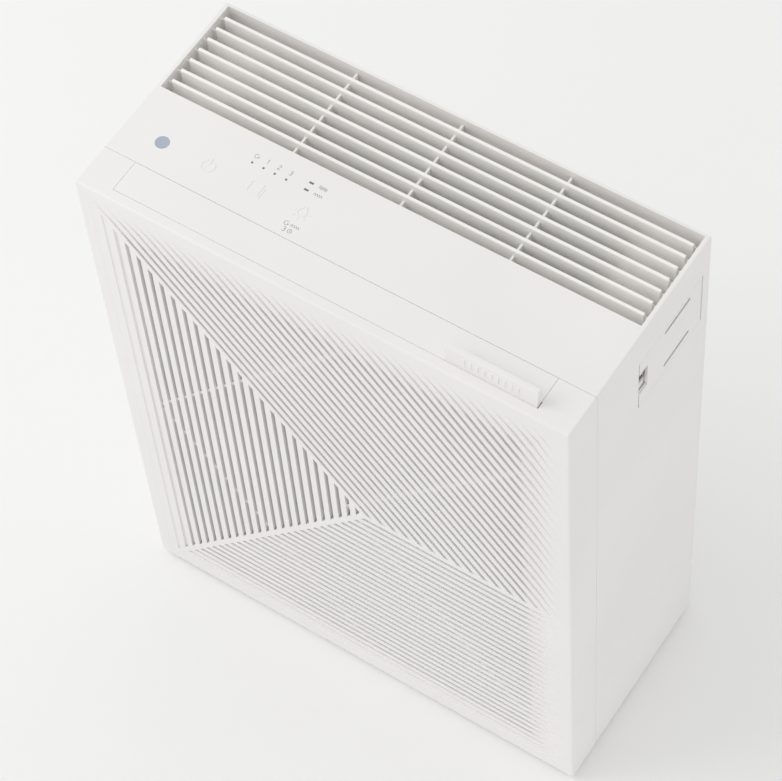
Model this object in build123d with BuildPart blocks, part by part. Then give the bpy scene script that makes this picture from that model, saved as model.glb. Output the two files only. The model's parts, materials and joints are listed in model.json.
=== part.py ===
"""A slim free-standing air purifier, in millimetres.

The front faces -Y, +Z is up, and the origin is on the floor under the middle of the case.
The pieces are drawn with the front face at y = 0 and moved back by half the depth at the end.
Air goes in through the slotted front cover, back through the filters in the pull-out drawer,
through the fan, up the duct and out through the louvres in the top.
"""
import os
from math import cos, radians, sin, tan

from build123d import *

# ---------------------------------------------------------------- driving dimensions
width = 350.0
depth = 162.0
height = 459.0
foot_height = 1.5
wall = 2.5
edge_radius = 1.5
base_radius = 5.5

seam_y = 30.8
seam_gap = 0.24
top_z = height
ceiling_z = top_z - wall
floor_z = foot_height + wall
inner_x = width / 2 - wall
rear_wall_y = depth - 2.4
cover_back_y = seam_y - seam_gap / 2
housing_front_y = seam_y + seam_gap / 2

# intake grille
plate_thickness = 6.0
bar_depth = 4.5
slot_width = 3.0
bar_width = 4.4
spoke_angle = 50.0
hub_x = 18.5
hub_z = 227.9
level_spoke_z = 226.0
level_spoke_width = 4.6
upright_pitch = 7.386
upright_count = 25
level_pitch = 7.25
level_count = 30
diagonal_pitch = 7.53
diagonal_count = 34
dish_left, dish_right = -169.0, 168.0
dish_bottom, dish_top = 9.0, 450.0
dish_steps = (0.0, 6.0, 11.0, 16.0, 21.0, 26.0)
dish_curve = 0.0041
open_inset = 26.1
tie_rib_width = 2.0
tie_rib_front, tie_rib_back = 1.7, 5.9
tie_rib_start_x, tie_rib_start_z = -145.8, 225.8
tie_rib_spacing = 150.0

# filter drawer, which slides up out of the front cover
drawer_left, drawer_right = -150.7, 149.2
drawer_front, drawer_back = 7.3, 30.62
drawer_bottom = 6.0
drawer_gap = 0.22
drawer_wall = 2.0
lid_thickness = 2.6
tab_left, tab_right = 85.9, 149.0
tab_front = 7.55
tab_thickness = 4.0
tab_height = 12.2
tab_lean = 1.44
grip_rib_count = 9
grip_rib_pitch = 4.6
grip_rib_height = 0.35

# outlet
outlet_half_x = 171.5
outlet_front, outlet_back = 86.0, rear_wall_y
slat_count = 7
slat_width = 2.4
slat_top = top_z - 0.6
slat_half_x = 168.4
slat_leg = 2.0
deck_z = top_z - 15.4
deck_thickness = 2.0
grille_ring_height = 1.8
cross_rib_width = 1.5
cross_rib_pitch = 77.4
cross_rib_middle = 2.4
cross_rib_drop = 5.0
wall_rib_rise, wall_rib_width, wall_rib_drop = 1.6, 1.0, 2.8
skirt = 2.0
duct_half_x = 134.6
duct_front, duct_back = 88.5, 157.0

# control area
symbol_y = 51.5
power_symbol_x = -111.3
mode_symbol_x = -77.5
lamp_symbol_x = -43.0
symbol_rise = 0.3
stroke = 0.8
lens_x, lens_y, lens_radius = -145.4, 51.3, 4.7
dot_xs = (-89.6, -81.3, -73.1, -64.7)
dot_y = 66.9
dot_radius = 0.75
bar_light_x = -50.0
bar_light_ys = (66.8, 72.6)
bar_light_size = (3.1, 1.4)
light_gap = 0.05

# sensor door on the right side
door_front, door_bottom, door_top = 79.2, 382.5, 429.5
door_axis_x, door_axis_y = 173.2, 151.2
door_thickness = 2.0
barrel_radius = width / 2 - door_axis_x
door_pin_radius, door_pin_length = 0.9, 2.0
door_clearance = 0.25
door_front_gap = 1.0
pin_clearance = 0.05
notch_depth_y, notch_bottom, notch_top = 9.3, 395.5, 417.0
notch_ledge, notch_back = 401.0, 91.0
pocket_bottom, pocket_top, pocket_depth, pocket_skin = 391.0, 420.0, 8.0, 1.3
door_slot_front, door_slot_back = 108.0, 138.0
door_slot_zs = (389.2, 424.3)
door_slot_height = 3.2
bay_floor_x = 160.0

# fan
fan_z = 225.0
inlet_radius = 100.0
scroll_front, scroll_back = 52.0, 142.0
scroll_wall = 2.0
scroll_start_angle, scroll_end_angle = 75.0, 360.0
scroll_start_radius, scroll_end_radius = 106.0, 160.0
scroll_top_z = 332.0
eye_radius = 90.0
blade_count = 36
blade_inner, blade_outer = 78.0, 96.0
blade_front, blade_back = 60.0, 133.0
blade_thickness = 1.4
blade_turn = 32.0
shaft_radius = 4.0
bearing_clearance = 0.05
bearing_radius = 11.0
motor_radius = 36.0
motor_front, motor_back = 99.0, 137.5
mount_radius = 43.0
wire_window = 16.0
bush_radius = 5.5

os.makedirs("parts", exist_ok=True)


# ---------------------------------------------------------------- small helpers
def block(x0, x1, y0, y1, z0, z1, mode=Mode.ADD):
    """A box between two corners, in the part that is being built."""
    with Locations(((x0 + x1) / 2, (y0 + y1) / 2, (z0 + z1) / 2)):
        Box(x1 - x0, y1 - y0, z1 - z0, mode=mode)


def rod_y(places, radius, y0, y1, mode=Mode.ADD):
    """Round rods along Y at (x, z) places."""
    with BuildSketch(Plane.XZ.offset(-y1)) as discs:
        with Locations(*places):
            Circle(radius)
    extrude(discs.sketch, amount=y1 - y0, mode=mode)


def rod_z(places, radius, z0, z1, mode=Mode.ADD):
    """Round rods along Z at (x, y) places."""
    with BuildSketch(Plane.XY.offset(z0)) as discs:
        with Locations(*places):
            Circle(radius)
    extrude(discs.sketch, amount=z1 - z0, mode=mode)


def fan_plane(y):
    """A plane across the fan's axis, facing the front."""
    return Plane(origin=(0, y, fan_z), x_dir=(1, 0, 0), z_dir=(0, -1, 0))


def around_motor(radius, count=3, start=90.0):
    """Places (x, z) on a circle round the fan's axis."""
    turns = [radians(start + 360.0 * i / count) for i in range(count)]
    return [(radius * cos(t), fan_z + radius * sin(t)) for t in turns]


# ---------------------------------------------------------------- outer form
with BuildPart() as envelope:
    block(-width / 2, width / 2, 0, depth, foot_height, height)
    fillet(envelope.faces().sort_by(Axis.Z)[0].edges(), base_radius)
    fillet(envelope.edges().filter_by(Axis.Z), edge_radius)
    fillet(envelope.faces().sort_by(Axis.Z)[-1].edges(), edge_radius)

# ---------------------------------------------------------------- intake slots
slope = tan(radians(spoke_angle))
spoke_reach = bar_width / 2 / sin(radians(spoke_angle))
long_slot = 3 * height


def spoke_z(x_from_hub):
    """Height above or below the hub of a sloping spoke's edge, at a distance left of the hub."""
    return (x_from_hub - spoke_reach) * slope


with BuildSketch(Plane.XZ) as left_field:
    for i in range(upright_count):
        with Locations((hub_x - 5.6 - i * upright_pitch, hub_z)):
            Rectangle(slot_width, long_slot)
    reach = hub_x - dish_left
    with BuildLine():
        Polyline(
            (hub_x - spoke_reach, hub_z),
            (dish_left, hub_z + spoke_z(reach)),
            (dish_left, hub_z - spoke_z(reach)),
            close=True,
        )
    make_face(mode=Mode.INTERSECT)

lower_edge_z = level_spoke_z - level_spoke_width / 2
with BuildSketch(Plane.XZ) as lower_field:
    for i in range(level_count):
        with Locations((0, lower_edge_z - slot_width / 2 - i * level_pitch)):
            Rectangle(long_slot, slot_width)
    right_of_hub = hub_x + spoke_reach
    with BuildLine():
        Polyline(
            (right_of_hub - (hub_z - lower_edge_z) / slope, lower_edge_z),
            (dish_right, lower_edge_z),
            (dish_right, dish_bottom),
            (right_of_hub - (hub_z - dish_bottom) / slope, dish_bottom),
            close=True,
        )
    make_face(mode=Mode.INTERSECT)

upper_edge_z = level_spoke_z + level_spoke_width / 2
with BuildSketch(Plane.XZ) as diagonal_field:
    for i in range(diagonal_count):
        away = (bar_width + slot_width) / 2 + i * diagonal_pitch
        across = away * sin(radians(spoke_angle))
        up = away * cos(radians(spoke_angle))
        with Locations((hub_x + across, hub_z + up)):
            Rectangle(long_slot, slot_width, rotation=-spoke_angle)
    with BuildLine():
        Polyline(
            (right_of_hub - (upper_edge_z - hub_z) / slope, upper_edge_z),
            (right_of_hub - (dish_top - hub_z) / slope, dish_top),
            (dish_right, dish_top),
            (dish_right, upper_edge_z),
            close=True,
        )
    make_face(mode=Mode.INTERSECT)

dish_middle = ((dish_left + dish_right) / 2, (dish_bottom + dish_top) / 2)
dish_size = (dish_right - dish_left, dish_top - dish_bottom)

# the floor of the slots: a shallow dish that comes up to the face at its border
with BuildPart() as dish:
    for inset in dish_steps:
        with BuildSketch(Plane.XZ.offset(-dish_curve * inset * inset)):
            with Locations(dish_middle):
                Rectangle(dish_size[0] - 2 * inset, dish_size[1] - 2 * inset)
    loft(ruled=True)
    with BuildSketch(Plane.XZ.offset(-plate_thickness - 1)):
        with Locations(dish_middle):
            Rectangle(dish_size[0] - 2 * open_inset, dish_size[1] - 2 * open_inset)
    extrude(amount=plate_thickness)

with BuildPart() as slots:
    with BuildSketch(Plane.XZ.offset(-plate_thickness - 1)):
        add(left_field.sketch)
        add(lower_field.sketch)
        add(diagonal_field.sketch)
    extrude(amount=plate_thickness + 1)
    add(dish.part, mode=Mode.INTERSECT)

# ---------------------------------------------------------------- front cover
case_screw_places = [(-162.0, 20.0), (162.0, 20.0), (-162.0, 440.0), (162.0, 440.0)]
case_boss_radius = 5.0
screw_radius = 1.5
pilot_radius = 1.55

with BuildPart() as front_cover:
    add(envelope.part)
    split(bisect_by=Plane.XZ.offset(-cover_back_y), keep=Keep.TOP)
    block(-inner_x, inner_x, plate_thickness, seam_y, floor_z, ceiling_z, Mode.SUBTRACT)
    block(drawer_left - drawer_gap, drawer_right + drawer_gap, drawer_front - drawer_gap, seam_y,
          ceiling_z - 1, top_z + 1, Mode.SUBTRACT)
    # relief in the rim beside the end of the grip tab
    block(drawer_right, drawer_right + 0.7, drawer_front - 0.4, drawer_front + 5.2,
          ceiling_z - 1, top_z + 1, Mode.SUBTRACT)
    add(slots.part, mode=Mode.SUBTRACT)
    block(dish_left + open_inset, dish_right - open_inset, bar_depth, plate_thickness + 1,
          dish_bottom + open_inset, dish_top - open_inset, Mode.SUBTRACT)
    # sloping ribs that tie the bars together from behind
    with BuildSketch(Plane.XZ.offset(-tie_rib_back)):
        for start_x in (tie_rib_start_x, tie_rib_start_x + tie_rib_spacing):
            rise = (dish_right - start_x) * slope
            with BuildLine():
                Line((start_x, tie_rib_start_z), (dish_right, tie_rib_start_z + rise))
                Line((start_x, tie_rib_start_z), (dish_right, tie_rib_start_z - rise))
            trace(line_width=tie_rib_width)
        with Locations(dish_middle):
            Rectangle(dish_size[0] - 2 * open_inset + 1, dish_size[1] - 2 * open_inset + 1,
                      mode=Mode.INTERSECT)
    extrude(amount=tie_rib_back - tie_rib_front)
    # guide walls for the drawer
    for x0 in (drawer_left - drawer_gap - drawer_wall, drawer_right + drawer_gap):
        block(x0, x0 + drawer_wall, plate_thickness, cover_back_y, floor_z, ceiling_z - 6)
    rod_y(case_screw_places, case_boss_radius, plate_thickness, cover_back_y)
    rod_y(case_screw_places, pilot_radius, 14.0, seam_y, Mode.SUBTRACT)

# ---------------------------------------------------------------- main housing
back_left, back_right = -167.0, 167.0
back_bottom, back_top = 9.0, 434.0
back_screw_places = [(-158.0, 20.0), (158.0, 20.0), (-158.0, 358.0), (158.0, 358.0)]
ledge = 3.0
slat_step = (outlet_back - outlet_front - slat_count * slat_width) / (slat_count + 1) + slat_width
slat_ys = [outlet_front + slat_step * (i + 1) - slat_width / 2 for i in range(slat_count)]
fit_gap = 0.3

with BuildPart() as main_housing:
    add(envelope.part)
    split(bisect_by=Plane.XZ.offset(-housing_front_y), keep=Keep.BOTTOM)
    block(-inner_x, inner_x, seam_y - 1, rear_wall_y, floor_z, ceiling_z, Mode.SUBTRACT)
    # outlet, with a skirt down to the deck and a rib on the side walls beside each slat
    block(-inner_x, inner_x, outlet_front - skirt, outlet_back, deck_z + 0.3, ceiling_z)
    block(-outlet_half_x, outlet_half_x, outlet_front, outlet_back, deck_z, top_z + 1,
          Mode.SUBTRACT)
    for side in (-1, 1):
        rib_near, rib_far = side * (outlet_half_x - wall_rib_rise), side * (outlet_half_x + 0.5)
        for y in slat_ys:
            block(min(rib_near, rib_far), max(rib_near, rib_far), y - wall_rib_width / 2,
                  y + wall_rib_width / 2, deck_z + grille_ring_height + 0.4,
                  slat_top - wall_rib_drop)
    # rear opening and the ledge that the back panel sits on
    block(back_left, back_right, rear_wall_y - 1, depth + 1, back_bottom, back_top, Mode.SUBTRACT)
    for x0, x1 in ((-inner_x, back_left + ledge), (back_right - ledge, inner_x)):
        block(x0, x1, rear_wall_y - 2.5, rear_wall_y, floor_z, back_top + ledge)
    for z0, z1 in ((floor_z, back_bottom + ledge), (back_top - ledge, back_top + ledge)):
        block(-inner_x, inner_x, rear_wall_y - 2.5, rear_wall_y, z0, z1)
    rod_y(back_screw_places, case_boss_radius, rear_wall_y - 20, rear_wall_y)
    for x, z in back_screw_places:
        side = 1 if x > 0 else -1
        block(min(x, side * inner_x), max(x, side * inner_x), rear_wall_y - 20, rear_wall_y - 2.5,
              z - 1.5, z + 1.5)
    rod_y(back_screw_places, pilot_radius, rear_wall_y - 16, rear_wall_y + 1, Mode.SUBTRACT)
    # lugs that the case screws pass through
    for x, z in case_screw_places:
        side = 1 if x > 0 else -1
        block(min(side * 156.5, side * inner_x), max(side * 156.5, side * inner_x),
              housing_front_y, housing_front_y + 1.7, z - 6, z + 6)
    rod_y(case_screw_places, screw_radius + 0.2, seam_y - 1, housing_front_y + 3, Mode.SUBTRACT)
    # windows for the lights
    rod_z([(lens_x, lens_y)], lens_radius + light_gap, ceiling_z - 1, top_z + 1, Mode.SUBTRACT)
    rod_z([(x, dot_y) for x in dot_xs], dot_radius + light_gap, ceiling_z - 1, top_z + 1,
          Mode.SUBTRACT)
    with BuildSketch(Plane.XY.offset(ceiling_z - 1)):
        with Locations(*[(bar_light_x, y) for y in bar_light_ys]):
            Rectangle(bar_light_size[0] + 2 * light_gap, bar_light_size[1] + 2 * light_gap)
    extrude(amount=wall + 2, mode=Mode.SUBTRACT)
    # raised touch symbols: power, speed and lamp
    with BuildSketch(Plane.XY.offset(top_z)):
        with BuildLine():
            CenterArc((power_symbol_x, symbol_y - 0.6), 4.4, 118, 304)
            Line((power_symbol_x, symbol_y + 0.2), (power_symbol_x, symbol_y + 5.6))
        trace(line_width=stroke)
    extrude(amount=symbol_rise)
    with BuildSketch(Plane.XY.offset(top_z)):
        with BuildLine():
            Polyline(
                (mode_symbol_x - 4, symbol_y - 3.2),
                (mode_symbol_x + 4, symbol_y - 3.2),
                (mode_symbol_x + 4, symbol_y + 4.8),
                (mode_symbol_x - 4, symbol_y + 4.8),
                close=True,
            )
            Polyline(
                (mode_symbol_x - 2.2, symbol_y - 5.0),
                (mode_symbol_x + 5.8, symbol_y - 5.0),
                (mode_symbol_x + 5.8, symbol_y + 3.0),
            )
        trace(line_width=stroke)
    extrude(amount=symbol_rise)
    with BuildSketch(Plane.XY.offset(top_z)):
        with BuildLine():
            CenterArc((lamp_symbol_x, symbol_y), 3.0, 115, 310)
            Polyline(
                (lamp_symbol_x - 1.27, symbol_y + 2.72),
                (lamp_symbol_x - 1.27, symbol_y + 4.9),
                (lamp_symbol_x + 1.27, symbol_y + 4.9),
                (lamp_symbol_x + 1.27, symbol_y + 2.72),
            )
            for turn in (180, 225, 270, 315, 360):
                ray = (cos(radians(turn)), sin(radians(turn)))
                Line(
                    (lamp_symbol_x + 4.4 * ray[0], symbol_y + 4.4 * ray[1]),
                    (lamp_symbol_x + 6.0 * ray[0], symbol_y + 6.0 * ray[1]),
                )
        trace(line_width=stroke)
    extrude(amount=symbol_rise)
    # recess for the sensor door, its hinge blocks and its stop
    block(inner_x - 1, width / 2 + 1, door_front - door_front_gap,
          door_axis_y + barrel_radius + door_clearance,
          door_bottom - door_clearance, door_top + door_clearance, Mode.SUBTRACT)
    for z0 in (door_bottom - door_clearance - 3.6, door_top + door_clearance):
        block(inner_x - 3, inner_x, door_axis_y - 4, door_axis_y + 3.8, z0, z0 + 3.6)
    rod_z([(door_axis_x, door_axis_y)], door_pin_radius + pin_clearance,
          door_bottom - door_pin_length - 0.2, door_top + door_pin_length + 0.2, Mode.SUBTRACT)
    # finger pocket behind the door's notch: stop lip, floor, back, end wall and latch rib
    pocket_front, pocket_x = door_front - 3, inner_x - pocket_depth
    block(inner_x - pocket_skin, inner_x, pocket_front, notch_back, pocket_bottom, notch_ledge)
    block(pocket_x, inner_x, pocket_front, notch_back, pocket_bottom, pocket_bottom + 2)
    block(pocket_x, pocket_x + pocket_skin, pocket_front, notch_back, pocket_bottom, pocket_top)
    block(pocket_x, inner_x - 1, notch_back - pocket_skin, notch_back, pocket_bottom, pocket_top)
    block(pocket_x, inner_x - 2.5, pocket_front, notch_back, notch_ledge - 2.4, notch_ledge - 1.4)

# ---------------------------------------------------------------- back panel with handle recess
handle_half_x, handle_bottom, handle_top = 55.0, 372.0, 404.0
handle_depth = 17.0
skin = 2.0
gland_x, gland_z, gland_hole = -140.0, 32.0, 7.0

with BuildPart() as back_panel:
    block(back_left + 0.3, back_right - 0.3, rear_wall_y, depth, back_bottom + 0.3, back_top - 0.3)
    block(-handle_half_x - skin, handle_half_x + skin, depth - handle_depth - skin, rear_wall_y,
          handle_bottom - skin, handle_top + skin + 14)
    with BuildSketch(Plane.YZ.offset(-handle_half_x)):
        with BuildLine():
            Polyline(
                (depth + 1, handle_bottom),
                (depth - handle_depth, handle_bottom + 8),
                (depth - handle_depth, handle_top + 14),
                (depth - 6, handle_top + 14),
                (depth - 6, handle_top + 2),
                (depth - 4, handle_top),
                (depth + 1, handle_top),
                close=True,
            )
        make_face()
    extrude(amount=2 * handle_half_x, mode=Mode.SUBTRACT)
    rod_y(back_screw_places, screw_radius + 0.2, rear_wall_y - 1, depth + 1, Mode.SUBTRACT)
    rod_y(back_screw_places, 3.2, depth - 1.2, depth + 1, Mode.SUBTRACT)
    rod_y([(gland_x, gland_z)], gland_hole, rear_wall_y - 1, depth + 1, Mode.SUBTRACT)

with BuildPart() as cord_gland:
    rod_y([(gland_x, gland_z)], gland_hole, rear_wall_y - 3.5, depth)
    rod_y([(gland_x, gland_z)], gland_hole + 2, rear_wall_y - 3.5, rear_wall_y)
    rod_y([(gland_x, gland_z)], 3.6, rear_wall_y - 4, depth + 1, Mode.SUBTRACT)

with BuildPart() as back_screws:
    rod_y(back_screw_places, 3.0, depth - 1.2, depth - 0.2)
    rod_y(back_screw_places, screw_radius, rear_wall_y - 12, depth - 1.2)
    for x, z in back_screw_places:
        block(x - 1.8, x + 1.8, depth - 0.7, depth, z - 0.35, z + 0.35, Mode.SUBTRACT)
        block(x - 0.35, x + 0.35, depth - 0.7, depth, z - 1.8, z + 1.8, Mode.SUBTRACT)

with BuildPart() as case_screws:
    rod_y(case_screw_places, 3.0, housing_front_y + 1.7, housing_front_y + 3.9)
    rod_y(case_screw_places, screw_radius, 16.0, housing_front_y + 1.7)

with BuildPart() as rubber_feet:
    with BuildSketch():
        with Locations(*[(x, y) for x in (-150, 150) for y in (22, 138)]):
            SlotOverall(26, 12)
    extrude(amount=foot_height)
    fillet(rubber_feet.faces().group_by(Axis.Z)[0].edges(), 0.5)

# ---------------------------------------------------------------- outlet grille

with BuildPart() as outlet_grille:
    block(-outlet_half_x + fit_gap, outlet_half_x - fit_gap, outlet_front + fit_gap,
          outlet_back - fit_gap, deck_z, deck_z + grille_ring_height)
    block(-outlet_half_x + 2, outlet_half_x - 2, outlet_front + 1.8, outlet_back - 1.8,
          deck_z - 1, deck_z + grille_ring_height + 1, Mode.SUBTRACT)
    with BuildSketch(Plane.YZ.offset(-slat_half_x)):
        with Locations(*[(y, (slat_top + deck_z) / 2) for y in slat_ys]):
            RectangleRounded(slat_width, slat_top - deck_z, 0.8)
    extrude(amount=2 * slat_half_x)
    for y in slat_ys:
        for side in (-1, 1):
            foot_in, foot_out = side * (slat_half_x - slat_leg), side * (outlet_half_x - 1)
            block(min(foot_in, foot_out), max(foot_in, foot_out), y - slat_width / 2 + 0.1,
                  y + slat_width / 2 - 0.1, deck_z, deck_z + grille_ring_height)
    for i in (-1, 0, 1):
        x = cross_rib_middle + i * cross_rib_pitch
        block(x - cross_rib_width / 2, x + cross_rib_width / 2, outlet_front + fit_gap,
              outlet_back - fit_gap, deck_z, slat_top - cross_rib_drop)

# ---------------------------------------------------------------- filter drawer and filters
frame_top = top_z - lid_thickness
lip = 5.0

with BuildPart() as filter_drawer:
    block(drawer_left, drawer_right, drawer_front, drawer_back, drawer_bottom, top_z)
    block(drawer_left + drawer_wall, drawer_right - drawer_wall, drawer_front + 1.2, drawer_back + 1,
          drawer_bottom + drawer_wall, frame_top, Mode.SUBTRACT)
    block(drawer_left + drawer_wall + lip, drawer_right - drawer_wall - lip, drawer_front - 1,
          drawer_front + 2, drawer_bottom + drawer_wall + lip, frame_top - lip, Mode.SUBTRACT)
    with BuildSketch(Plane.YZ.offset(tab_left)):
        with BuildLine():
            Polyline(
                (tab_front, top_z - 0.5),
                (tab_front + tab_lean, top_z + tab_height),
                (tab_front + tab_lean + tab_thickness, top_z + tab_height),
                (tab_front + tab_thickness, top_z - 0.5),
                close=True,
            )
        make_face()
    extrude(amount=tab_right - tab_left)
    tab_top = filter_drawer.faces().sort_by(Axis.Z)[-1]
    fillet(tab_top.edges(), 0.7)
    middle = (tab_left + tab_right) / 2
    for i in range(grip_rib_count):
        x = middle + (i - (grip_rib_count - 1) / 2) * grip_rib_pitch
        with BuildSketch(Plane.YZ.offset(x - 0.7)):
            with BuildLine():
                Polyline(
                    (tab_front + 0.4, top_z + 3.4),
                    (tab_front + 0.4 - grip_rib_height, top_z + 3.6),
                    (tab_front + 1.0 - grip_rib_height, top_z + 8.6),
                    (tab_front + 1.1, top_z + 8.8),
                    close=True,
                )
            make_face()
        extrude(amount=1.4)

filter_left, filter_right = drawer_left + drawer_wall + 0.3, drawer_right - drawer_wall - 0.3
filter_bottom, filter_top = drawer_bottom + drawer_wall, frame_top - 0.3
mesh_y = drawer_front + 1.2
carbon_y = mesh_y + 3.2
hepa_y = carbon_y + 5.6
gasket_y = hepa_y + 11.5

with BuildPart() as prefilter_frame:
    block(filter_left, filter_right, mesh_y, mesh_y + 2.2, filter_bottom, filter_top)
    column_count, row_count = 3, 4
    bay_x = (filter_right - filter_left - 5) / column_count
    bay_z = (filter_top - filter_bottom - 5) / row_count
    with BuildSketch(Plane.XZ.offset(-mesh_y - 3)):
        with Locations(((filter_left + filter_right) / 2, (filter_bottom + filter_top) / 2)):
            with GridLocations(bay_x, bay_z, column_count, row_count):
                Rectangle(bay_x - 3, bay_z - 3)
    extrude(amount=4, mode=Mode.SUBTRACT)

with BuildPart() as prefilter_mesh:
    block(filter_left + 1, filter_right - 1, mesh_y + 2.2, mesh_y + 2.9, filter_bottom + 1,
          filter_top - 1)

with BuildPart() as carbon_filter:
    block(filter_left, filter_right, carbon_y, carbon_y + 5.2, filter_bottom, filter_top)
    fillet(carbon_filter.edges().filter_by(Axis.Y), 2)

with BuildPart() as hepa_frame:
    block(filter_left, filter_right, hepa_y, gasket_y, filter_bottom, filter_top)
    block(filter_left + 3, filter_right - 3, hepa_y - 1, gasket_y + 1, filter_bottom + 3,
          filter_top - 3, Mode.SUBTRACT)

pleat_count = 56
pleat_pitch = (filter_right - filter_left - 7) / pleat_count
pleat_sheet = 0.7
with BuildPart() as hepa_pleats:
    with BuildSketch(Plane.XY.offset(filter_bottom + 3.2)):
        with BuildLine():
            near, far = hepa_y + 0.8, gasket_y - 0.8 - pleat_sheet
            start = filter_left + 3.5
            folds = [
                (start + i * pleat_pitch / 2, near if i % 2 == 0 else far)
                for i in range(2 * pleat_count + 1)
            ]
            back_folds = [(x, y + pleat_sheet) for x, y in reversed(folds)]
            Polyline(*folds, *back_folds, close=True)
        make_face()
    extrude(amount=filter_top - filter_bottom - 6.4)

with BuildPart() as filter_gasket:
    block(filter_left, filter_right, gasket_y, drawer_back, filter_bottom, filter_top)
    block(filter_left + 6, filter_right - 6, gasket_y - 1, drawer_back + 1, filter_bottom + 6,
          filter_top - 6, Mode.SUBTRACT)

# ---------------------------------------------------------------- sensor door, tray and sensor
with BuildPart() as sensor_cover:
    block(width / 2 - door_thickness, width / 2, door_front, door_axis_y, door_bottom, door_top)
    fillet(sensor_cover.edges().filter_by(Axis.X).group_by(Axis.Y)[0], 1.5)
    rod_z([(door_axis_x, door_axis_y)], barrel_radius, door_bottom, door_top)
    rod_z([(door_axis_x, door_axis_y)], door_pin_radius, door_bottom - door_pin_length,
          door_top + door_pin_length)
    with BuildSketch(Plane.YZ.offset(width / 2 - 4)):
        with Locations((door_front, (notch_bottom + notch_top) / 2)):
            Rectangle(2 * notch_depth_y, notch_top - notch_bottom)
        with Locations(*[((door_slot_front + door_slot_back) / 2, z) for z in door_slot_zs]):
            SlotOverall(door_slot_back - door_slot_front, door_slot_height)
    extrude(amount=6, mode=Mode.SUBTRACT)

bay_front, bay_back = door_front - 4.7, rear_wall_y - 2.8
bay_bottom, bay_top = door_bottom - 6.5, door_top + 6.5
with BuildPart() as sensor_bay:
    block(bay_floor_x, inner_x, bay_front, bay_back, bay_bottom, bay_top)
    block(bay_floor_x + 1.5, inner_x + 1, bay_front + 1.5, bay_back - 1.5, bay_bottom + 1.5,
          bay_top - 1.5, Mode.SUBTRACT)

sensor_front, sensor_back = 98.0, 144.0
sensor_bottom, sensor_top = 388.0, 424.0
sensor_face_x = 169.0
with BuildPart() as particle_sensor:
    block(bay_floor_x + 1.5, sensor_face_x, sensor_front, sensor_back, sensor_bottom, sensor_top)
    fillet(particle_sensor.faces().sort_by(Axis.X)[-1].edges(), 1.0)
    with BuildSketch(Plane.YZ.offset(sensor_face_x - 4)):
        with Locations((114, 406)):
            Circle(6.0)
        with Locations((134, 406)):
            Rectangle(9, 22)
    extrude(amount=4, mode=Mode.SUBTRACT)

with BuildPart() as sensor_lens:
    with BuildSketch(Plane.YZ.offset(sensor_face_x - 4)):
        with Locations((114, 406)):
            Circle(4.0)
    extrude(amount=2.4)
    fillet(sensor_lens.faces().sort_by(Axis.X)[-1].edges(), 1.0)

# ---------------------------------------------------------------- fan plate, guard and scroll
plate_front, plate_back = 33.0, 35.5
fan_plate_top = deck_z - deck_thickness - 0.6

with BuildPart() as fan_plate:
    block(-inner_x + 0.4, inner_x - 0.4, plate_front, plate_back, floor_z, fan_plate_top)
    rod_y([(0, fan_z)], inlet_radius, plate_front - 1, plate_back + 1, Mode.SUBTRACT)
    # room for the heads of the case screws
    rod_y(case_screw_places, 4.0, plate_front - 1, plate_back + 1, Mode.SUBTRACT)
    with BuildSketch(Plane(origin=(0, 0, fan_z), x_dir=(0, 1, 0), z_dir=(1, 0, 0))):
        with BuildLine():
            Polyline(
                (plate_back, inlet_radius),
                (plate_back, inlet_radius + 2),
                (scroll_front - 12, eye_radius + 2),
                (scroll_front, eye_radius + 2),
                (scroll_front, eye_radius),
                (scroll_front - 12.8, eye_radius),
                close=True,
            )
        make_face()
    revolve(axis=Axis((0, 0, fan_z), (0, 1, 0)))

guard_radii = (26.0, 50.0, 74.0, inlet_radius - 2.2)
with BuildPart() as inlet_guard:
    for radius in guard_radii:
        with BuildSketch(fan_plane(plate_back)):
            Circle(radius + 2)
            Circle(radius, mode=Mode.SUBTRACT)
        extrude(amount=plate_back - plate_front)
    with BuildSketch(fan_plane(plate_back)):
        with PolarLocations(guard_radii[0] + (guard_radii[-1] - guard_radii[0]) / 2 + 1, 8):
            Rectangle(guard_radii[-1] - guard_radii[0], 2.0)
    extrude(amount=plate_back - plate_front)


def volute(extra):
    """The scroll's outline, grown outwards by extra: the spiral, then straight up to the outlet."""
    turns = 12
    span = scroll_end_angle - scroll_start_angle
    growth = scroll_end_radius - scroll_start_radius
    points = []
    for i in range(turns + 1):
        angle = radians(scroll_start_angle + span * i / turns)
        radius = scroll_start_radius + growth * i / turns + extra
        points.append((radius * cos(angle), fan_z + radius * sin(angle)))
    start = radians(scroll_start_angle)
    with BuildLine() as outline:
        Spline(*points, tangents=[(-sin(start), cos(start)), (0.06, 1)])
        Polyline(
            points[-1],
            (scroll_end_radius + extra, scroll_top_z),
            (points[0][0] - 2 * extra, scroll_top_z),
            points[0],
        )
    return outline.edges()


with BuildPart() as fan_scroll:
    with BuildSketch(Plane.XZ.offset(-scroll_back)):
        make_face(volute(scroll_wall))
    extrude(amount=scroll_back - scroll_front)
    with BuildSketch(Plane.XZ.offset(-scroll_back + scroll_wall)):
        make_face(volute(0))
    extrude(amount=scroll_back - scroll_front - 2 * scroll_wall, mode=Mode.SUBTRACT)
    rod_y([(0, fan_z)], eye_radius + 2.4, scroll_front - 1, scroll_front + scroll_wall + 1,
          Mode.SUBTRACT)
    rod_y(around_motor(mount_radius), 2.1, scroll_back - scroll_wall - 1, scroll_back + 1,
          Mode.SUBTRACT)
    rod_y([(0, fan_z)], wire_window, scroll_back - scroll_wall - 1, scroll_back + 1, Mode.SUBTRACT)

# ---------------------------------------------------------------- air duct
duct_wall = 2.0
duct_top = deck_z - deck_thickness
mouth_left = scroll_start_radius * cos(radians(scroll_start_angle))
throat_z, throat_left = deck_z - 19.6, -100.0
throat_front, throat_back = 72.0, scroll_back
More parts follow.
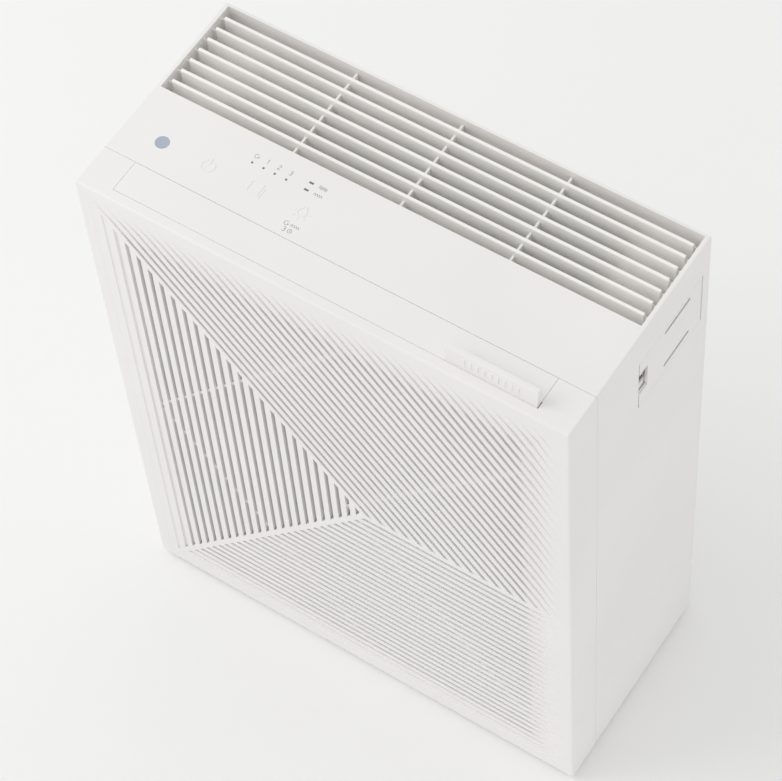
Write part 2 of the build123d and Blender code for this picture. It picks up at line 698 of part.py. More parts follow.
# each section is its height, then its left, right, front and back walls
duct_sections = [
    (scroll_top_z, mouth_left, scroll_end_radius, scroll_front, scroll_back),
    (throat_z, throat_left, duct_half_x, throat_front, throat_back),
    (duct_top, -duct_half_x, duct_half_x, duct_front, duct_back),
]


def duct_outlines(wall_inset):
    """The duct's sections from the scroll's mouth up to the deck, drawn in by wall_inset."""
    outlines = []
    for z, left, right, front, back in duct_sections:
        with BuildSketch(Plane.XY.offset(z)) as section:
            with Locations(((left + right) / 2, (front + back) / 2)):
                Rectangle(right - left - 2 * wall_inset, back - front - 2 * wall_inset)
        outlines.append(section.sketch)
    return outlines


with BuildPart() as duct_hollow:
    loft(duct_outlines(duct_wall), ruled=True)

with BuildPart() as air_duct:
    loft(duct_outlines(0), ruled=True)
    block(-inner_x + 0.4, inner_x - 0.4, outlet_front - 2, rear_wall_y - 0.2, duct_top, deck_z)
    add(duct_hollow.part, mode=Mode.SUBTRACT)
    block(-duct_half_x + duct_wall, duct_half_x - duct_wall, duct_front + duct_wall,
          duct_back - duct_wall, duct_top - 0.01, deck_z + 1, Mode.SUBTRACT)

# ---------------------------------------------------------------- impeller
hub_front = blade_front + 20
with BuildPart() as impeller:
    with BuildSketch(Plane(origin=(0, 0, fan_z), x_dir=(0, 1, 0), z_dir=(1, 0, 0))):
        with BuildLine():
            Polyline(
                (hub_front, shaft_radius),
                (hub_front, 10),
                (hub_front + 10, 11),
                (hub_front + 12, 42),
                (blade_back, 60),
                (blade_back, blade_outer),
                (blade_back + 2, blade_outer),
                (blade_back + 2, 58.6),
                (hub_front + 14.4, 40.5),
                (hub_front + 14.4, shaft_radius),
                close=True,
            )
        make_face()
    revolve(axis=Axis((0, 0, fan_z), (0, 1, 0)))
    with BuildSketch(fan_plane(blade_back)):
        with PolarLocations((blade_inner + blade_outer) / 2, blade_count):
            Rectangle(blade_outer - blade_inner, blade_thickness, rotation=blade_turn)
    extrude(amount=blade_back - blade_front)
    with BuildSketch(fan_plane(blade_front + 2)):
        Circle(blade_outer)
        Circle(blade_inner + 1.5, mode=Mode.SUBTRACT)
    extrude(amount=2)

with BuildPart() as motor_shaft:
    rod_y([(0, fan_z)], shaft_radius, hub_front - 8, motor_back - 1)
    chamfer(motor_shaft.faces().sort_by(Axis.Y)[0].edges(), 0.6)

with BuildPart() as impeller_nut:
    with BuildSketch(fan_plane(hub_front)):
        RegularPolygon(8, 6)
        Circle(shaft_radius, mode=Mode.SUBTRACT)
    extrude(amount=5)

# ---------------------------------------------------------------- motor
bearing_length = 6.0
rotor_radius = 18.0

with BuildPart() as motor_case:
    rod_y([(0, fan_z)], motor_radius, motor_front, motor_back)
    rod_y([(0, fan_z)], mount_radius + 6, motor_back - 3, motor_back)
    fillet(motor_case.faces().sort_by(Axis.Y)[0].edges(), 3)
    rod_y([(0, fan_z)], motor_radius - 2, motor_front + bearing_length, motor_back - bearing_length,
          Mode.SUBTRACT)
    rod_y([(0, fan_z)], bearing_radius, motor_front - 1, motor_back + 1, Mode.SUBTRACT)
    rod_y(around_motor(mount_radius), 2.1, motor_back - 4, motor_back + 1, Mode.SUBTRACT)

with BuildPart() as motor_bearings:
    for y in (motor_front, motor_back - bearing_length):
        rod_y([(0, fan_z)], bearing_radius, y, y + bearing_length)
        rod_y([(0, fan_z)], shaft_radius + bearing_clearance, y - 0.5, y + bearing_length + 0.5,
              Mode.SUBTRACT)

with BuildPart() as motor_stator:
    rod_y([(0, fan_z)], motor_radius - 2, motor_front + 8, motor_back - 8)
    rod_y([(0, fan_z)], rotor_radius + 0.5, motor_front + 7, motor_back - 7, Mode.SUBTRACT)

with BuildPart() as motor_rotor:
    rod_y([(0, fan_z)], rotor_radius, motor_front + 8.5, motor_back - 8.5)
    rod_y([(0, fan_z)], shaft_radius, motor_front + 7, motor_back - 7, Mode.SUBTRACT)

with BuildPart() as motor_bushes:
    rod_y(around_motor(mount_radius), bush_radius, motor_back, scroll_back - scroll_wall)
    rod_y(around_motor(mount_radius), 2.1, motor_back - 1, scroll_back, Mode.SUBTRACT)

with BuildPart() as motor_screws:
    rod_y(around_motor(mount_radius), 3.6, scroll_back, scroll_back + 2.4)
    rod_y(around_motor(mount_radius), 1.95, motor_back - 5, scroll_back)

# ---------------------------------------------------------------- controls under the top
board_top = ceiling_z - 6.0

with BuildPart() as control_board:
    block(-160, -32, 38, 80, board_top - 1.6, board_top)
    with BuildSketch(Plane.XY.offset(board_top - 5.6)):
        with Locations((-125, 70), (-60, 46)):
            Rectangle(16, 9)
        with Locations((-88, 50)):
            Rectangle(12, 12)
    extrude(amount=4)

with BuildPart() as touch_pads:
    rod_z([(x, symbol_y) for x in (power_symbol_x, mode_symbol_x, lamp_symbol_x)], 5.5, board_top,
          ceiling_z)

with BuildPart() as air_quality_lens:
    rod_z([(lens_x, lens_y)], lens_radius, ceiling_z, top_z - 0.1)
    rod_z([(lens_x, lens_y)], lens_radius + 1.5, ceiling_z - 1.2, ceiling_z)

with BuildPart() as status_lights:
    rod_z([(x, dot_y) for x in dot_xs], dot_radius, board_top, top_z)
    with BuildSketch(Plane.XY.offset(board_top)):
        with Locations(*[(bar_light_x, y) for y in bar_light_ys]):
            Rectangle(*bar_light_size)
    extrude(amount=top_z - board_top)

with BuildPart() as light_chamber:
    rod_z([(lens_x, lens_y)], lens_radius + 2.5, board_top, ceiling_z - 1.2)
    rod_z([(lens_x, lens_y)], lens_radius, board_top - 1, ceiling_z, Mode.SUBTRACT)

# ---------------------------------------------------------------- power board in its box
box_left, box_right, box_front, box_back, box_top = -150.0, -40.0, 60.0, 140.0, 46.0

with BuildPart() as power_board_box:
    block(box_left, box_right, box_front, box_back, floor_z, box_top)
    block(box_left + 2, box_right - 2, box_front + 2, box_back - 2, floor_z + 2, box_top - 2,
          Mode.SUBTRACT)
    for i in range(5):
        y = box_front + 20 + i * 10
        block(box_left + 20, box_right - 20, y, y + 3, box_top - 3, box_top + 1, Mode.SUBTRACT)

with BuildPart() as power_board:
    block(box_left + 4, box_right - 4, box_front + 4, box_back - 4, floor_z + 6, floor_z + 7.6)
    block(box_left + 12, box_left + 40, box_front + 12, box_front + 36, floor_z + 7.6, floor_z + 30)
    rod_z([(box_right - 24, 80), (box_right - 24, 106)], 9, floor_z + 7.6, floor_z + 32)
    rod_z([(box_left + 8, 68), (box_right - 8, 68), (box_left + 8, 132), (box_right - 8, 132)], 3,
          floor_z + 2, floor_z + 6)

# ---------------------------------------------------------------- wiring inside the case
wire_radius = 1.6
motor_wire_y = scroll_back + 7
wire_routes = [
    # power board to control board, up the left side
    [(-140, 52, board_top - 1.8), (-140, 52, 430), (-160, 52, 405), (-160, 52, 80), (-152, 52, 30),
     (-130, 48, 24), (-130, box_front - 0.2, 24)],
    # power board to motor, behind the scroll
    [(-70, box_back + 0.2, 30), (-70, motor_wire_y, 30), (-70, motor_wire_y, 100),
     (-25, motor_wire_y, 190), (-9.5, motor_wire_y, fan_z - 9.5), (-9.5, motor_back + 0.2, fan_z - 9.5)],
    # power board to dust sensor, up the right side
    [(bay_floor_x - 0.2, 110, 390), (152, 110, 390), (152, 110, 376), (168, 108, 350),
     (168, 108, 80), (150, 104, 24), (box_right + 0.2, 104, 24)],
]

with BuildPart() as wiring_harness:
    for route in wire_routes:
        first = Vector(*route[0])
        heading = Vector(*route[1]) - first
        with BuildLine() as path:
            FilletPolyline(*route, radius=3.0)
        with BuildSketch(Plane(origin=first, z_dir=heading)):
            Circle(wire_radius)
        sweep(path=path.line)

# ---------------------------------------------------------------- write the pieces
pieces = {
    "front_cover": front_cover,
    "main_housing": main_housing,
    "back_panel": back_panel,
    "cord_gland": cord_gland,
    "back_screws": back_screws,
    "case_screws": case_screws,
    "rubber_feet": rubber_feet,
    "outlet_grille": outlet_grille,
    "filter_drawer": filter_drawer,
    "prefilter_frame": prefilter_frame,
    "prefilter_mesh": prefilter_mesh,
    "carbon_filter": carbon_filter,
    "hepa_frame": hepa_frame,
    "hepa_pleats": hepa_pleats,
    "filter_gasket": filter_gasket,
    "sensor_cover": sensor_cover,
    "sensor_bay": sensor_bay,
    "particle_sensor": particle_sensor,
    "sensor_lens": sensor_lens,
    "fan_plate": fan_plate,
    "inlet_guard": inlet_guard,
    "fan_scroll": fan_scroll,
    "air_duct": air_duct,
    "impeller": impeller,
    "motor_shaft": motor_shaft,
    "impeller_nut": impeller_nut,
    "motor_case": motor_case,
    "motor_bearings": motor_bearings,
    "motor_stator": motor_stator,
    "motor_rotor": motor_rotor,
    "motor_bushes": motor_bushes,
    "motor_screws": motor_screws,
    "control_board": control_board,
    "touch_pads": touch_pads,
    "air_quality_lens": air_quality_lens,
    "status_lights": status_lights,
    "light_chamber": light_chamber,
    "power_board_box": power_board_box,
    "power_board": power_board,
    "wiring_harness": wiring_harness,
}
to_middle = Location((0, -depth / 2, 0))
for name, piece in pieces.items():
    piece.part = piece.part.moved(to_middle)
    piece.part.label = name
    export_step(piece.part, f"parts/{name}.step")
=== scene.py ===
"""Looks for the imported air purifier: camera, light, materials and fine pieces, in metres."""

import json
import math
from itertools import product

import bmesh
import bpy
from mathutils import Matrix, Vector


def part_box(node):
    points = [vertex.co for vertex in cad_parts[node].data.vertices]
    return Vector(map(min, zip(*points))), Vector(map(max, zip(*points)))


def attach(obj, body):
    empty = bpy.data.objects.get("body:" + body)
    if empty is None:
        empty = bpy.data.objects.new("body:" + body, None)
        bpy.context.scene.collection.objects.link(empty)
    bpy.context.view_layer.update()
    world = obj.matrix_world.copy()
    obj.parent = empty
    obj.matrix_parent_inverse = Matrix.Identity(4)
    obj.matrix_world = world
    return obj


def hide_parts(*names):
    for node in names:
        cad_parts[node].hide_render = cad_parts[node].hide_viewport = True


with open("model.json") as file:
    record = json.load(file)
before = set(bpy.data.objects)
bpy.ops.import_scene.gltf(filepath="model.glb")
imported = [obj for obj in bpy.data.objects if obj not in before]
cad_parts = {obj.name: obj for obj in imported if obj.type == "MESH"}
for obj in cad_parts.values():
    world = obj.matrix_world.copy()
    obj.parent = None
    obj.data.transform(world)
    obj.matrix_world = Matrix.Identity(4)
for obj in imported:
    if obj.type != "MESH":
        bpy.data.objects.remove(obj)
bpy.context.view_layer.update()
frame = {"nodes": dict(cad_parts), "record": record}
nodes = frame["nodes"]
scene = bpy.context.scene

MM = 0.001

# the camera: a long lens above the front right corner, turned a little about its own axis
SENSOR_WIDTH, FOCAL_LENGTH = 36.0, 139.57
NEAR_CLIP, FAR_CLIP = 0.05, 60.0
CAMERA_PLACE = (0.6462, -0.8403, 1.9280)
CAMERA_RIGHT = (0.83628, 0.54554, -0.05497)
CAMERA_UP = (-0.43753, 0.72438, 0.53276)

# the studio: even light from all round, and one large softbox high on the front left
STUDIO_STRENGTH = 0.782
KEY_PLACE, KEY_AIM = (-2.35, -1.2, 2.6), (0, -0.04, 0.3)
KEY_SIZE, KEY_POWER = 2.4, 32.0
FLOOR_SIDE, FLOOR_CELLS = 9.0, 24

# the middle part of a noise texture's range, which the materials spread out
NOISE_LOW, NOISE_HIGH = 0.3, 0.7


# ---------------------------------------------------------------- camera and light
def add_camera():
    data = bpy.data.cameras.new("camera")
    data.sensor_width = SENSOR_WIDTH
    data.lens = FOCAL_LENGTH
    data.clip_start, data.clip_end = NEAR_CLIP, FAR_CLIP
    camera = bpy.data.objects.new("camera", data)
    scene.collection.objects.link(camera)
    right, up = Vector(CAMERA_RIGHT), Vector(CAMERA_UP)
    back = right.cross(up).normalized()
    up = back.cross(right)
    turn = Matrix((right, up, back)).transposed()
    camera.matrix_world = Matrix.Translation(CAMERA_PLACE) @ turn.to_4x4()
    scene.camera = camera


def add_softbox(name, place, aim, size, power):
    """A square area light at place, facing aim."""
    data = bpy.data.lights.new(name, "AREA")
    data.shape = "SQUARE"
    data.size = size
    data.energy = power
    light = bpy.data.objects.new(name, data)
    light.location = place
    light.rotation_mode = "QUATERNION"
    light.rotation_quaternion = (Vector(aim) - Vector(place)).to_track_quat("-Z", "Y")
    light.visible_camera = False
    scene.collection.objects.link(light)


def add_world(strength):
    """Even white light from all round."""
    world = bpy.data.worlds.new("studio")
    world.use_nodes = True
    background = world.node_tree.nodes["Background"]
    background.inputs["Color"].default_value = (1.0, 1.0, 1.0, 1.0)
    background.inputs["Strength"].default_value = strength
    scene.world = world


# ---------------------------------------------------------------- materials
class Shader:
    """A material's node tree, with short calls to add and join nodes."""

    def __init__(self, name):
        self.material = bpy.data.materials.new(name)
        self.material.use_nodes = True
        self.tree = self.material.node_tree
        self.tree.nodes.clear()
        self.output = self.tree.nodes.new("ShaderNodeOutputMaterial")
        self.bsdf = self.tree.nodes.new("ShaderNodeBsdfPrincipled")
        self.join(self.bsdf, "BSDF", self.output, "Surface")
        self.place = self.tree.nodes.new("ShaderNodeTexCoord")

    def node(self, kind, **settings):
        made = self.tree.nodes.new("ShaderNode" + kind)
        for key, value in settings.items():
            setattr(made, key, value)
        return made

    def join(self, a, out, b, into):
        self.tree.links.new(a.outputs[out], b.inputs[into])

    def stretched(self, scale):
        """Object coordinates scaled by a factor for each axis."""
        made = self.node("Mapping")
        made.inputs["Scale"].default_value = scale
        self.join(self.place, "Object", made, "Vector")
        return made

    def noise(self, scale, detail=2.0, rough=0.5):
        made = self.node("TexNoise")
        made.inputs["Scale"].default_value = scale
        made.inputs["Detail"].default_value = detail
        made.inputs["Roughness"].default_value = rough
        self.join(self.place, "Object", made, "Vector")
        return made

    def spread(self, source, out, low, high, to_low, to_high):
        """source's range low..high spread over to_low..to_high."""
        made = self.node("MapRange")
        for key, value in (("From Min", low), ("From Max", high), ("To Min", to_low), ("To Max", to_high)):
            made.inputs[key].default_value = value
        self.join(source, out, made, "Value")
        return made

    def level(self, noise, to_low=0.0, to_high=1.0):
        """The middle of a noise's range spread over to_low..to_high."""
        return self.spread(noise, "Fac", NOISE_LOW, NOISE_HIGH, to_low, to_high)

    def times(self, first, first_out, second):
        """A value multiplied by a number or by a (node, output) pair."""
        made = self.node("Math", operation="MULTIPLY")
        self.join(first, first_out, made, 0)
        if isinstance(second, tuple):
            self.join(*second, made, 1)
        else:
            made.inputs[1].default_value = second
        return made

    def blend(self, factor, factor_out, first, second):
        """Two colours mixed by a factor; each is a colour or a (node, output) pair."""
        made = self.node("Mix", data_type="RGBA")
        self.join(factor, factor_out, made, "Factor")
        for socket, value in ((6, first), (7, second)):
            if isinstance(value[0], bpy.types.Node):
                self.tree.links.new(value[0].outputs[value[1]], made.inputs[socket])
            else:
                made.inputs[socket].default_value = (*value, 1.0)
        return made

    def paint(self, blended):
        """A blend as the surface's colour."""
        self.tree.links.new(blended.outputs[2], self.bsdf.inputs["Base Color"])

    def edges(self, radius):
        """1 along sharp edges, 0 on flat faces."""
        bevel = self.node("Bevel", samples=4)
        bevel.inputs["Radius"].default_value = radius
        surface = self.node("NewGeometry")
        dot = self.node("VectorMath", operation="DOT_PRODUCT")
        self.join(bevel, "Normal", dot, 0)
        self.join(surface, "Normal", dot, 1)
        return self.spread(dot, "Value", 0.995, 0.80, 0.0, 1.0)

    def bumps(self, *layers):
        """Bump layers of (source, output, depth in metres, strength), chained into the normal."""
        last = None
        for source, out, depth, strength in layers:
            bump = self.node("Bump")
            bump.inputs["Distance"].default_value = depth
            bump.inputs["Strength"].default_value = strength
            self.join(source, out, bump, "Height")
            if last:
                self.join(last, "Normal", bump, "Normal")
            last = bump
        self.join(last, "Normal", self.bsdf, "Normal")


def tinted(colour, factor):
    return tuple(min(1.0, c * factor) for c in colour)


def moulded(name, colour, rough=0.45, grain=2600.0, grain_depth=0.02 * MM, mottle=0.02,
            worn_colour=None, sheen=0.5):
    """Moulded plastic: fine spark-eroded grain, faint ripple and mottle, edges rubbed smooth."""
    mottle_scale, cloud_scale, rub_scale, ripple_scale = 9.0, 38.0, 140.0, 26.0
    rub_edge, rub_share, rub_polish, rub_bright = 0.6 * MM, 0.5, -0.16, 1.06
    rough_swing, ripple_depth, plastic_ior = 0.05, 0.25 * MM, 1.46
    s = Shader(name)
    tone = s.level(s.noise(mottle_scale, 3.0))
    body = s.blend(tone, "Result", tinted(colour, 1 - mottle), tinted(colour, 1 + mottle))
    patchy = s.noise(rub_scale, 4.0, 0.65)
    rubbed = s.spread(patchy, "Fac", 0.35, 0.65, 0.0, 1.0)
    worn = s.times(s.edges(rub_edge), "Result", (rubbed, "Result"))
    amount = s.times(worn, "Value", rub_share)
    s.paint(s.blend(amount, "Value", (body, 2), worn_colour or tinted(colour, rub_bright)))
    rough_map = s.level(s.noise(cloud_scale, 3.0), rough - rough_swing, rough + rough_swing)
    polish = s.node("Math", operation="MULTIPLY_ADD")
    s.join(amount, "Value", polish, 0)
    polish.inputs[1].default_value = rub_polish
    s.join(rough_map, "Result", polish, 2)
    s.join(polish, "Value", s.bsdf, "Roughness")
    s.bsdf.inputs["IOR"].default_value = plastic_ior
    s.bsdf.inputs["Specular IOR Level"].default_value = sheen
    fine = s.noise(grain, 2.0)
    ripple = s.noise(ripple_scale, 1.0)
    s.bumps((fine, "Fac", grain_depth, 0.5), (ripple, "Fac", ripple_depth, 0.35))
    return s.material


def metal(name, colour, rough=0.35, brushed=(1.0, 1.0, 1.0), brush_scale=1800.0):
    """Metal with fine drawn or ground lines along one axis, and brighter edges."""
    stain_scale, stain_dark, stain_light = 55.0, 0.86, 1.08
    rub_edge, rub_share, rub_bright, rough_swing = 0.4 * MM, 0.4, 1.35, 0.07
    line_depth, stain_depth = 0.01 * MM, 0.04 * MM
    s = Shader(name)
    lines = s.noise(brush_scale, 2.0)
    s.join(s.stretched(brushed), "Vector", lines, "Vector")
    stain = s.noise(stain_scale, 4.0, 0.6)
    body = s.blend(s.level(stain), "Result", tinted(colour, stain_dark), tinted(colour, stain_light))
    amount = s.times(s.edges(rub_edge), "Result", rub_share)
    s.paint(s.blend(amount, "Value", (body, 2), tinted(colour, rub_bright)))
    s.bsdf.inputs["Metallic"].default_value = 1.0
    rough_map = s.level(lines, rough - rough_swing, rough + rough_swing)
    s.join(rough_map, "Result", s.bsdf, "Roughness")
    s.bumps((lines, "Fac", line_depth, 0.4), (stain, "Fac", stain_depth, 0.2))
    return s.material


def grainy(name, colour, dark, cell, depth, rough=0.9, wear=0.3):
    """A cellular or granular surface: foam, granules or fibres, with painted shade darkening the hollows
    between the cells.
    """
    broad_scale, speck_bright, rough_swing = 30.0, 1.25, 0.06
    s = Shader(name)
    cells = s.node("TexVoronoi", feature="F1")
    cells.inputs["Scale"].default_value = cell
    s.join(s.place, "Object", cells, "Vector")
    # darker towards each cell's rim, where the bump sinks: painted shade in the hollows between the cells
    tone = s.spread(cells, "Distance", 0.1, 0.7, 1.0, 0.0)
    broad = s.noise(broad_scale, 4.0)
    body = s.blend(tone, "Result", dark, colour)
    speck = s.spread(broad, "Fac", 0.35, 0.75, 0.0, wear)
    s.paint(s.blend(speck, "Result", (body, 2), tinted(colour, speck_bright)))
    rough_map = s.level(broad, rough - rough_swing, min(1.0, rough + rough_swing))
    s.join(rough_map, "Result", s.bsdf, "Roughness")
    s.bumps((tone, "Result", depth, 0.8), (broad, "Fac", depth, 0.3))
    return s.material


def board(name, colour):
    """Circuit board lacquer with copper tracks showing through, seen in plan."""
    track_layout = {"Scale": 260.0, "Mortar Size": 0.045, "Mortar Smooth": 0.2, "Brick Width": 0.9}
    track_shift, track_depth, stain_scale = 0.37, 0.03 * MM, 60.0
    s = Shader(name)
    plan = s.stretched((1.0, 1.0, 0.0))
    tracks = s.node("TexBrick")
    tracks.offset = track_shift
    for key, value in track_layout.items():
        tracks.inputs[key].default_value = value
    tracks.inputs["Color1"].default_value = (*colour, 1.0)
    tracks.inputs["Color2"].default_value = (*tinted(colour, 1.15), 1.0)
    tracks.inputs["Mortar"].default_value = (*tinted(colour, 1.9), 1.0)
    s.join(plan, "Vector", tracks, "Vector")
    stain = s.noise(stain_scale, 3.0)
    tone = s.spread(stain, "Fac", 0.35, 0.7, 0.0, 0.25)
    s.paint(s.blend(tone, "Result", (tracks, "Color"), tinted(colour, 0.6)))
    rough_map = s.spread(stain, "Fac", 0.35, 0.7, 0.22, 0.38)
    s.join(rough_map, "Result", s.bsdf, "Roughness")
    s.bumps((tracks, "Fac", track_depth, 0.5))
    return s.material


def clear(name, colour, rough=0.12, transmission=0.6):
    """Clear or tinted moulded light window."""
    cloud_scale, grain_scale, grain_depth, window_ior = 160.0, 900.0, 0.01 * MM, 1.49
    s = Shader(name)
    cloud = s.noise(cloud_scale, 3.0)
    s.paint(s.blend(s.level(cloud), "Result", tinted(colour, 0.96), tinted(colour, 1.04)))
    rough_map = s.level(cloud, rough - 0.03, rough + 0.04)
    s.join(rough_map, "Result", s.bsdf, "Roughness")
    s.bsdf.inputs["Transmission Weight"].default_value = transmission
    s.bsdf.inputs["IOR"].default_value = window_ior
    s.bumps((s.noise(grain_scale, 2.0), "Fac", grain_depth, 0.3))
    return s.material


COARSE_GRAIN = 0.04 * MM
looks = {
    "shell_white": moulded("shell_white", (0.905, 0.888, 0.874), rough=0.47),
    "grille_white": moulded("grille_white", (0.955, 0.943, 0.915), rough=0.44),
    "inner_white": moulded("inner_white", (0.84, 0.826, 0.792), rough=0.55, grain_depth=COARSE_GRAIN),
    "duct_grey": moulded("duct_grey", (0.30, 0.30, 0.295), rough=0.55, grain_depth=COARSE_GRAIN),
    "fan_grey": moulded("fan_grey", (0.06, 0.062, 0.066), rough=0.5, mottle=0.12,
                        worn_colour=(0.16, 0.16, 0.165)),
    "lens_blue_grey": clear("lens_blue_grey", (0.50, 0.56, 0.66), rough=0.2, transmission=0.15),
    "light_dark": clear("light_dark", (0.20, 0.22, 0.25), rough=0.3, transmission=0.05),
    "mesh_grey": grainy("mesh_grey", (0.50, 0.49, 0.468), (0.41, 0.402, 0.384), 2400.0,
                        0.06 * MM, rough=0.7),
    "carbon_black": grainy("carbon_black", (0.045, 0.045, 0.048), (0.008, 0.008, 0.009), 520.0,
                           0.8 * MM, rough=0.75),
    "pleat_white": grainy("pleat_white", (0.87, 0.868, 0.845), (0.80, 0.798, 0.77), 3200.0,
                          0.05 * MM, rough=0.95, wear=0.06),
    "card_white": moulded("card_white", (0.70, 0.695, 0.67), rough=0.8, grain=1500.0,
                          grain_depth=0.05 * MM),
    "foam_black": grainy("foam_black", (0.04, 0.04, 0.042), (0.010, 0.010, 0.011), 1500.0,
                         0.3 * MM, rough=0.95),
    "rubber_grey": moulded("rubber_grey", (0.055, 0.055, 0.058), rough=0.72, grain=1800.0, mottle=0.1,
                           worn_colour=(0.12, 0.12, 0.12), sheen=0.3),
    "screw_steel": metal("screw_steel", (0.62, 0.63, 0.64), 0.34),
    "shaft_steel": metal("shaft_steel", (0.68, 0.69, 0.70), 0.22, brushed=(6.0, 0.2, 6.0)),
    "motor_metal": metal("motor_metal", (0.52, 0.53, 0.54), 0.42),
    "stator_iron": metal("stator_iron", (0.28, 0.28, 0.29), 0.5, brushed=(0.1, 6.0, 0.1), brush_scale=900.0),
    "board_green": board("board_green", (0.018, 0.12, 0.055)),
    "wire_white": moulded("wire_white", (0.62, 0.615, 0.59), rough=0.5, grain=900.0, mottle=0.06),
    "glass_clear": clear("glass_clear", (0.86, 0.92, 0.95), rough=0.05, transmission=0.9),
}
print_grey = moulded("print_grey", (0.36, 0.36, 0.365), rough=0.6, mottle=0.08)

for row in frame["record"]["subparts"]:
    materials = nodes[row["node"]].data.materials
    materials.clear()
    materials.append(looks[row["material_slot"]])


# ---------------------------------------------------------------- floor
def add_floor():
    """A pale, faintly uneven studio floor."""
    mesh = bpy.data.meshes.new("floor")
    net = bmesh.new()
    bmesh.ops.create_grid(net, x_segments=FLOOR_CELLS, y_segments=FLOOR_CELLS, size=FLOOR_SIDE / 2)
    net.to_mesh(mesh)
    net.free()
    floor = bpy.data.objects.new("floor", mesh)
    scene.collection.objects.link(floor)
    s = Shader("floor_paint")
    tone = s.level(s.noise(1.5, 4.0))
    s.paint(s.blend(tone, "Result", (0.945, 0.945, 0.94), (0.96, 0.96, 0.955)))
    s.bsdf.inputs["Roughness"].default_value = 0.85
    s.bumps((s.noise(300.0, 2.0), "Fac", 0.1 * MM, 0.2))
    floor.data.materials.append(s.material)


# ---------------------------------------------------------------- fine pieces
def add_piece(name, net, material, body="case", stands_for=()):
    """A piece that rides on a CAD body and takes the given material."""
    mesh = bpy.data.meshes.new(name)
    net.to_mesh(mesh)
    net.free()
    mesh.materials.append(material)
    piece = bpy.data.objects.new(name, mesh)
    scene.collection.objects.link(piece)
    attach(piece, body)
    if stands_for:
        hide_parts(*stands_for)


def ribbon(net, line, half_width, low, high):
    """A flat strip of even width along a line in the XY plane, between two heights."""
    points = [Vector(p) for p in line]
    ways = [(b - a).normalized() for a, b in zip(points, points[1:])]
    rings = []
    for i, here in enumerate(points):
        sides = [Vector((-way.y, way.x)) for way in ways[max(0, i - 1):i + 1]]
        middle = sum(sides, Vector((0, 0))).normalized()
        reach = half_width / max(0.5, middle.dot(sides[0]))
        left, right = here + middle * reach, here - middle * reach
        corners = ((left, low), (right, low), (right, high), (left, high))
        rings.append([net.verts.new((p.x, p.y, z)) for p, z in corners])
    for a, b in zip(rings, rings[1:]):
        for k in range(4):
            net.faces.new((a[k], a[(k + 1) % 4], b[(k + 1) % 4], b[k]))
    net.faces.new(rings[0])
    net.faces.new(reversed(rings[-1]))


def add_thread(net, low, high):
    """A straight square thread between two corners."""
    corners = [net.verts.new(corner) for corner in product(*zip(low, high))]
    for face in ((0, 1, 3, 2), (4, 6, 7, 5), (0, 4, 5, 1), (2, 3, 7, 6), (0, 2, 6, 4), (1, 5, 7, 3)):
        net.faces.new([corners[i] for i in face])


def arc(x, y, radius, start, end, steps):
    """Points along a circle's arc, angles in degrees."""
    turns = [math.radians(start + (end - start) * i / steps) for i in range(steps + 1)]
    return [(x + radius * math.cos(t), y + radius * math.sin(t)) for t in turns]


# strokes of the small printed marks, in millimetres about each mark's middle
ONE = [[(-0.55, 1.0), (0.1, 1.6), (0.1, -1.6)]]
TWO = [arc(0, 0.75, 0.85, 160, -35, 10) + [(-0.9, -1.6), (1.0, -1.6)]]
THREE = [arc(0, 0.78, 0.78, 150, -80, 10) + arc(0, -0.74, 0.9, 80, -150, 12)]
CYCLE = [arc(0, 0, 1.5, 60, 340, 18), [(1.9, 0.3), (1.41, -0.5), (0.55, -0.05)]]
WAVES = [[(-3.0 + 0.5 * i, dy + 0.35 * math.sin(i * 1.05)) for i in range(13)] for dy in (-0.8, 0.0, 0.8)]
PLEATS = [[(-3.0 + 0.75 * i, 0.9 if i % 2 else -0.9) for i in range(9)]]
CLOCK = [arc(0, 0, 1.4, 0, 360, 20), [(0, 0.9), (0, 0), (0.6, -0.4)]]

# each mark's middle: right of the case's middle, and behind its front face, in millimetres
MARKS = (
    (CYCLE, -89.6, 72.3), (ONE, -81.3, 72.3), (TWO, -73.1, 72.3), (THREE, -64.7, 72.3),
    (WAVES, -41.6, 72.6), (PLEATS, -41.6, 66.8),
    (CYCLE, -46.6, 40.6), (PLEATS, -40.6, 40.6), (THREE, -45.6, 36.4), (CLOCK, -41.6, 36.4),
)
MARKS_TO_REAR = -81.0   # from the case's front face to the frame's middle
STROKE_HALF_WIDTH = 0.17 * MM
INK_SINK, INK_RISE = 0.01 * MM, 0.03 * MM


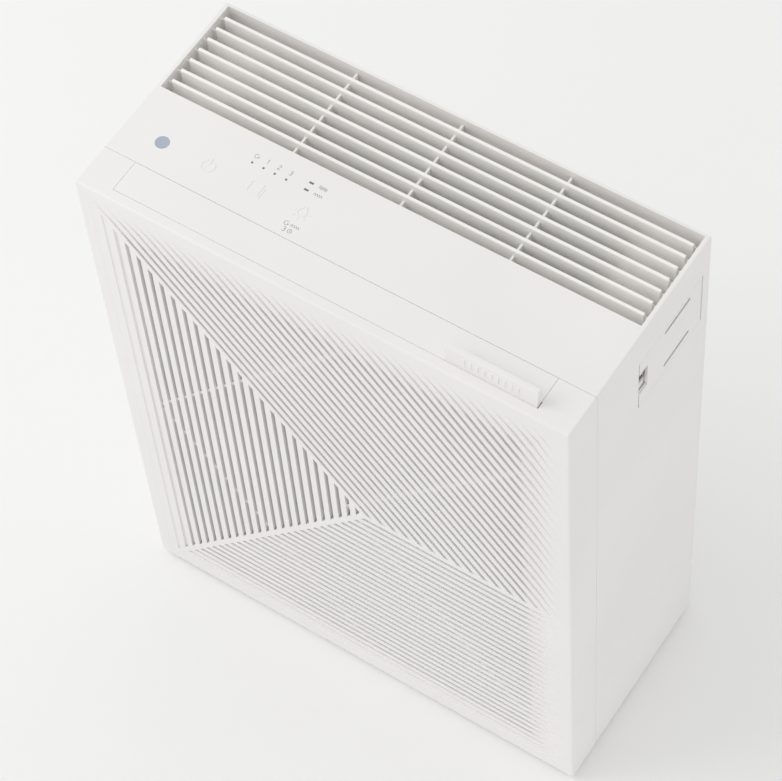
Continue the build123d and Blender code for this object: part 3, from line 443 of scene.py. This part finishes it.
def add_printed_marks():
    """Grey pad-printed digits and pictograms beside the lights."""
    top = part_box("front_cover")[1].z
    net = bmesh.new()
    for strokes, x, y in MARKS:
        for line in strokes:
            placed = [((px + x) * MM, (py + y + MARKS_TO_REAR) * MM) for px, py in line]
            ribbon(net, placed, STROKE_HALF_WIDTH, top - INK_SINK, top + INK_RISE)
    bmesh.ops.recalc_face_normals(net, faces=net.faces)
    add_piece("printed_marks", net, print_grey)


NET_PITCH, THREAD_WIDTH, THREAD_LAP = 1.05 * MM, 0.42 * MM, 0.02 * MM


def add_filter_net():
    """The pre-filter's net: upright threads in front of level ones."""
    low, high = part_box("prefilter_mesh")
    middle = (low.y + high.y) / 2
    net = bmesh.new()
    for axis, near, far in ((0, low.y, middle), (2, middle - THREAD_LAP, high.y)):
        count = int((high[axis] - low[axis]) / NET_PITCH)
        for i in range(count + 1):
            at = low[axis] + (high[axis] - low[axis] - THREAD_WIDTH) * i / count
            start, end = list(low), list(high)
            start[axis], end[axis] = at, at + THREAD_WIDTH
            start[1], end[1] = near, far
            add_thread(net, start, end)
    add_piece("filter_net", net, looks["mesh_grey"], "drawer", ("prefilter_mesh",))


BEAD_ROWS = 14
BEAD_HEIGHT, BEAD_RISE, BEAD_SINK = 1.8 * MM, 0.45 * MM, 0.35 * MM


def add_pleat_beads():
    """Level beads of glue across the back of the folded paper, which hold the folds apart."""
    low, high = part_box("hepa_pleats")
    net = bmesh.new()
    for i in range(BEAD_ROWS):
        z = low.z + (high.z - low.z) * (i + 0.5) / BEAD_ROWS
        start = (low.x, high.y - BEAD_SINK, z - BEAD_HEIGHT / 2)
        end = (high.x, high.y + BEAD_RISE, z + BEAD_HEIGHT / 2)
        add_thread(net, start, end)
    bmesh.ops.recalc_face_normals(net, faces=net.faces)
    add_piece("pleat_beads", net, looks["card_white"], "drawer")


add_camera()
add_world(STUDIO_STRENGTH)
add_softbox("key", KEY_PLACE, KEY_AIM, KEY_SIZE, KEY_POWER)
add_floor()
add_printed_marks()
add_filter_net()
add_pleat_beads()
scene.view_settings.view_transform = "Standard"
scene.view_settings.look = "None"
